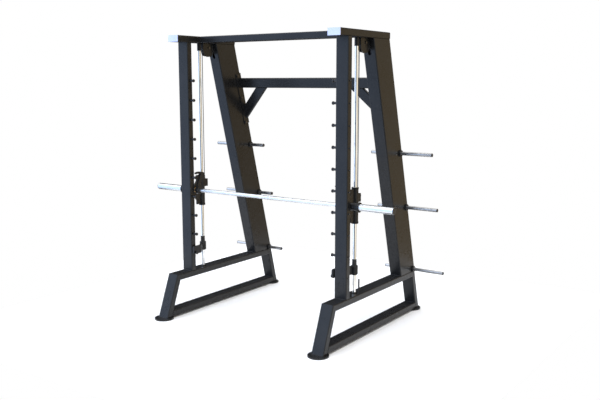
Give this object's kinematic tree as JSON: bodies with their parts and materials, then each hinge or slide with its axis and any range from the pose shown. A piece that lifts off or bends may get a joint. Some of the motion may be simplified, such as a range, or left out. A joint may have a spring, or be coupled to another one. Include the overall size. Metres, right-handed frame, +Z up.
{
  "type": "smith machine",
  "caption": "Smith machine with leaning rear uprights, a barbell that slides on vertical guide rods and hooks over catch studs, safety stops and plate storage pegs.",
  "frame": {"origin": "on the floor, in the middle of the footprint, midway between the side frames", "axes": "+X along the bar to the user's right seen from the front, +Y from the front to the leaning rear uprights, +Z up"},
  "size_m": [2.21, 1.5296, 2.2],
  "materials": {
    "frame_paint": "semi-gloss black powder coat",
    "carriage_paint": "semi-gloss black powder coat",
    "stop_paint": "semi-gloss black powder coat",
    "guide_chrome": "polished hard chrome",
    "bar_chrome": "satin chrome",
    "peg_steel": "brushed zinc plate",
    "bolt_steel": "black oxide",
    "stud_steel": "black oxide, worn bright where the hook rubs",
    "hook_steel": "black powder coat",
    "end_plate_aluminium": "satin anodised",
    "collar_black": "satin black",
    "cap_plastic": "moulded plastic",
    "foot_rubber": "matt",
    "bumper_rubber": "matt",
    "cable_jacket": "black nylon jacket over steel rope",
    "bush_plastic": "acetal",
    "bush_bronze": "sintered bronze",
    "pulley_nylon": "black nylon",
    "weight_steel": "black painted steel bar"
  },
  "bodies": {
    "frame": {"front_upright_left": "frame_paint", "front_upright_right": "frame_paint", "rear_upright_left": "frame_paint", "rear_upright_right": "frame_paint", "top_rail_left": "frame_paint", "top_rail_right": "frame_paint", "base_upper_rail_left": "frame_paint", "base_upper_rail_right": "frame_paint", "base_lower_rail_left": "frame_paint", "base_lower_rail_right": "frame_paint", "front_leg_left": "frame_paint", "front_leg_right": "frame_paint", "rear_leg_left": "frame_paint", "rear_leg_right": "frame_paint", "rear_brace_left": "frame_paint", "rear_brace_right": "frame_paint", "guide_rod_left": "guide_chrome", "guide_rod_right": "guide_chrome", "top_crossbar": "frame_paint", "rear_crossbar": "frame_paint", "crossbar_end_plates": "frame_paint", "crossbar_bolts": "bolt_steel", "rail_end_caps": "end_plate_aluminium", "base_pin": "bolt_steel", "rod_sockets": "collar_black", "catch_studs": "stud_steel", "stud_bolts": "bolt_steel", "storage_pegs": "peg_steel", "peg_collars": "collar_black", "peg_end_caps": "cap_plastic", "foot_plates": "frame_paint", "foot_pads": "foot_rubber", "pulley_cheeks": "frame_paint", "pulley_axles": "bolt_steel", "cable_front": "cable_jacket", "cable_wraps": "cable_jacket", "cable_tails": "cable_jacket"},
    "carriage": {"carriage_housing_left": "carriage_paint", "carriage_housing_right": "carriage_paint", "carriage_plate_left": "carriage_paint", "carriage_plate_right": "carriage_paint", "carriage_bushes": "bush_plastic", "bar_bushes": "bush_bronze", "cable_clamps": "carriage_paint"},
    "bar": {"bar_shaft": "bar_chrome", "bar_sleeves": "bar_chrome", "bar_collars": "collar_black", "bar_end_caps": "cap_plastic", "hook_bosses": "hook_steel", "latch_hook_left": "hook_steel", "latch_hook_right": "hook_steel"},
    "safety_stop_left": {"stop_body_left": "stop_paint", "stop_bumper_left": "bumper_rubber"},
    "safety_stop_right": {"stop_body_right": "stop_paint", "stop_bumper_right": "bumper_rubber"},
    "pulley_left": {"pulley_left": "pulley_nylon"},
    "pulley_right": {"pulley_right": "pulley_nylon"},
    "counterweight_left": {"counterweight_left": "weight_steel"},
    "counterweight_right": {"counterweight_right": "weight_steel"}
  },
  "joints": [
    {"name": "carriage_slide", "type": "slide", "parent": "frame", "child": "carriage", "axis": [0, 0, 1], "range_m": [-0.228, 0.979], "deforming": ["cable_front", "cable_tails"]},
    {"name": "bar_turn", "type": "hinge", "parent": "carriage", "child": "bar", "pos_m": [0, -0.335, 0.989], "axis": [1, 0, 0], "range_deg": [-16, 24]},
    {"name": "safety_stop_left_lift", "type": "slide", "parent": "frame", "child": "safety_stop_left", "axis": [0, 0, 1], "range_m": [0, 0.03]},
    {"name": "pulley_left_spin", "type": "hinge", "parent": "frame", "child": "pulley_left", "pos_m": [-0.73, -0.124, 2.118], "axis": [-1, 0, 0], "continuous": true},
    {"name": "counterweight_left_slide", "type": "slide", "parent": "frame", "child": "counterweight_left", "axis": [0, 0.2581, -0.9661], "range_m": [-0.23, 0.981]},
    {"name": "safety_stop_right_lift", "type": "slide", "parent": "frame", "child": "safety_stop_right", "axis": [0, 0, 1], "range_m": [0, 0.03]},
    {"name": "pulley_right_spin", "type": "hinge", "parent": "frame", "child": "pulley_right", "pos_m": [0.73, -0.124, 2.118], "axis": [-1, 0, 0], "continuous": true},
    {"name": "counterweight_right_slide", "type": "slide", "parent": "frame", "child": "counterweight_right", "axis": [0, 0.2581, -0.9661], "range_m": [-0.23, 0.981]}
  ],
  "couplings": [
    {"joint": "pulley_left_spin", "follows": "carriage_slide", "rad_per_m": 14.706},
    {"joint": "counterweight_left_slide", "follows": "carriage_slide", "ratio": 1},
    {"joint": "pulley_right_spin", "follows": "carriage_slide", "rad_per_m": 14.706},
    {"joint": "counterweight_right_slide", "follows": "carriage_slide", "ratio": 1}
  ]
}
